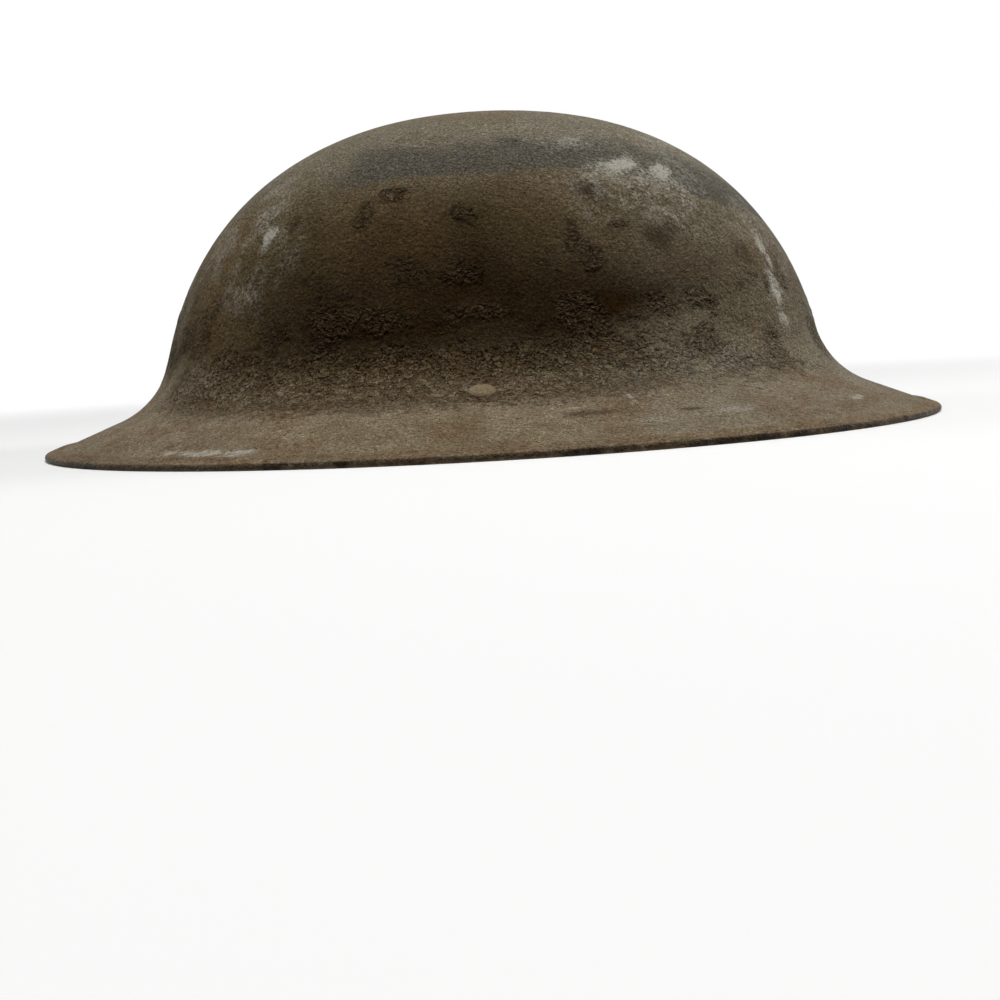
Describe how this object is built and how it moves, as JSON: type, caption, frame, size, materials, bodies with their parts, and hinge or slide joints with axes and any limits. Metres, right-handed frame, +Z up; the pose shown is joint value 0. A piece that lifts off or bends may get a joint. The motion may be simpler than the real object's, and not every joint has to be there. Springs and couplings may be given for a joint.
{
  "type": "steel helmet",
  "caption": "Wide-brimmed steel soldier's helmet with an oval bowl, folded rim edging, string-net liner in a leather headband, and a two-piece chinstrap on wire bails.",
  "frame": {"origin": "on the surface that the helmet stands on, under the middle of its brim", "axes": "+X to the wearer's front, +Y to the wearer's left, +Z up through the crown"},
  "size_m": [0.305, 0.29, 0.1094],
  "materials": {
    "steel_paint": "weathered brown-olive paint with fine grit, worn to grey metal in places",
    "bare_steel": "dull tinned wire, darkened by age",
    "felt": "grey-green pressed felt",
    "oilcloth": "black oilcloth, slightly glossy",
    "headband_leather": "dark brown leather, polished by wear",
    "band_cloth": "dark woven tape",
    "rubber": "aged grey-brown rubber",
    "twine": "knotted cotton twine, yellowed",
    "strap_leather": "russet leather, creased at the fold",
    "copper": "dull copper rivet",
    "buckle_brass": "tarnished brass wire"
  },
  "bodies": {
    "helmet": {"shell": "steel_paint", "rim": "steel_paint", "crown_rivet": "steel_paint", "crown_washer": "bare_steel", "crown_felt": "felt", "crown_oilcloth": "oilcloth", "headband": "headband_leather", "carrier_band": "band_cloth", "cushion_01": "rubber", "cushion_02": "rubber", "cushion_03": "rubber", "cushion_04": "rubber", "cushion_05": "rubber", "cushion_06": "rubber", "cushion_07": "rubber", "cushion_08": "rubber", "cushion_09": "rubber", "cushion_10": "rubber", "cushion_11": "rubber", "cushion_12": "rubber", "cushion_pins": "bare_steel", "net": "twine", "net_drawcord": "twine", "chinstrap_rivet_right": "steel_paint", "chinstrap_rivet_left": "steel_paint", "lug_right": "steel_paint", "lug_left": "steel_paint"},
    "bail_right": {"bail_right": "bare_steel"},
    "bail_left": {"bail_left": "bare_steel"},
    "buckle_strap": {"strap_buckle_end": "strap_leather", "strap_rivet_right": "copper", "buckle_rivet": "copper"},
    "keeper": {"keeper": "strap_leather"},
    "buckle": {"buckle_frame": "buckle_brass"},
    "tongue": {"buckle_tongue": "buckle_brass"},
    "tip_strap": {"strap_tip_inner": "strap_leather", "strap_rivet_left": "copper"},
    "tip_end": {"strap_tip_outer": "strap_leather"}
  },
  "joints": [
    {"name": "bail_right_swing", "type": "hinge", "parent": "helmet", "child": "bail_right", "pos_m": [-0.0025, -0.0996, 0.01542], "axis": [-1, 0, 0], "range_deg": [-12, 90]},
    {"name": "bail_left_swing", "type": "hinge", "parent": "helmet", "child": "bail_left", "pos_m": [-0.0025, 0.0996, 0.01542], "axis": [1, 0, 0], "range_deg": [-12, 90]},
    {"name": "buckle_strap_swing", "type": "hinge", "parent": "bail_right", "child": "buckle_strap", "pos_m": [-0.0025, -0.08098, 0.0037], "axis": [-1, 0, 0], "range_deg": [-10, 80]},
    {"name": "tip_strap_swing", "type": "hinge", "parent": "bail_left", "child": "tip_strap", "pos_m": [-0.0025, 0.08098, 0.0037], "axis": [1, 0, 0], "range_deg": [-10, 80]},
    {"name": "tip_strap_fold", "type": "hinge", "parent": "tip_strap", "child": "tip_end", "pos_m": [-0.02288, -0.03488, 0.0035], "axis": [-0.9781, 0.2079, 0], "range_deg": [0, 150]},
    {"name": "buckle_swing", "type": "hinge", "parent": "buckle_strap", "child": "buckle", "pos_m": [0.0158, 0.0251, 0.0037], "axis": [0.9781, -0.2079, 0], "range_deg": [-40, 50]},
    {"name": "tongue_swing", "type": "hinge", "parent": "buckle", "child": "tongue", "pos_m": [0.0158, 0.0251, 0.0037], "axis": [0.9781, -0.2079, 0], "range_deg": [0, 70]},
    {"name": "keeper_slide", "type": "slide", "parent": "buckle_strap", "child": "keeper", "axis": [0.2079, 0.9781, 0], "range_m": [-0.036, 0.018]}
  ]
}
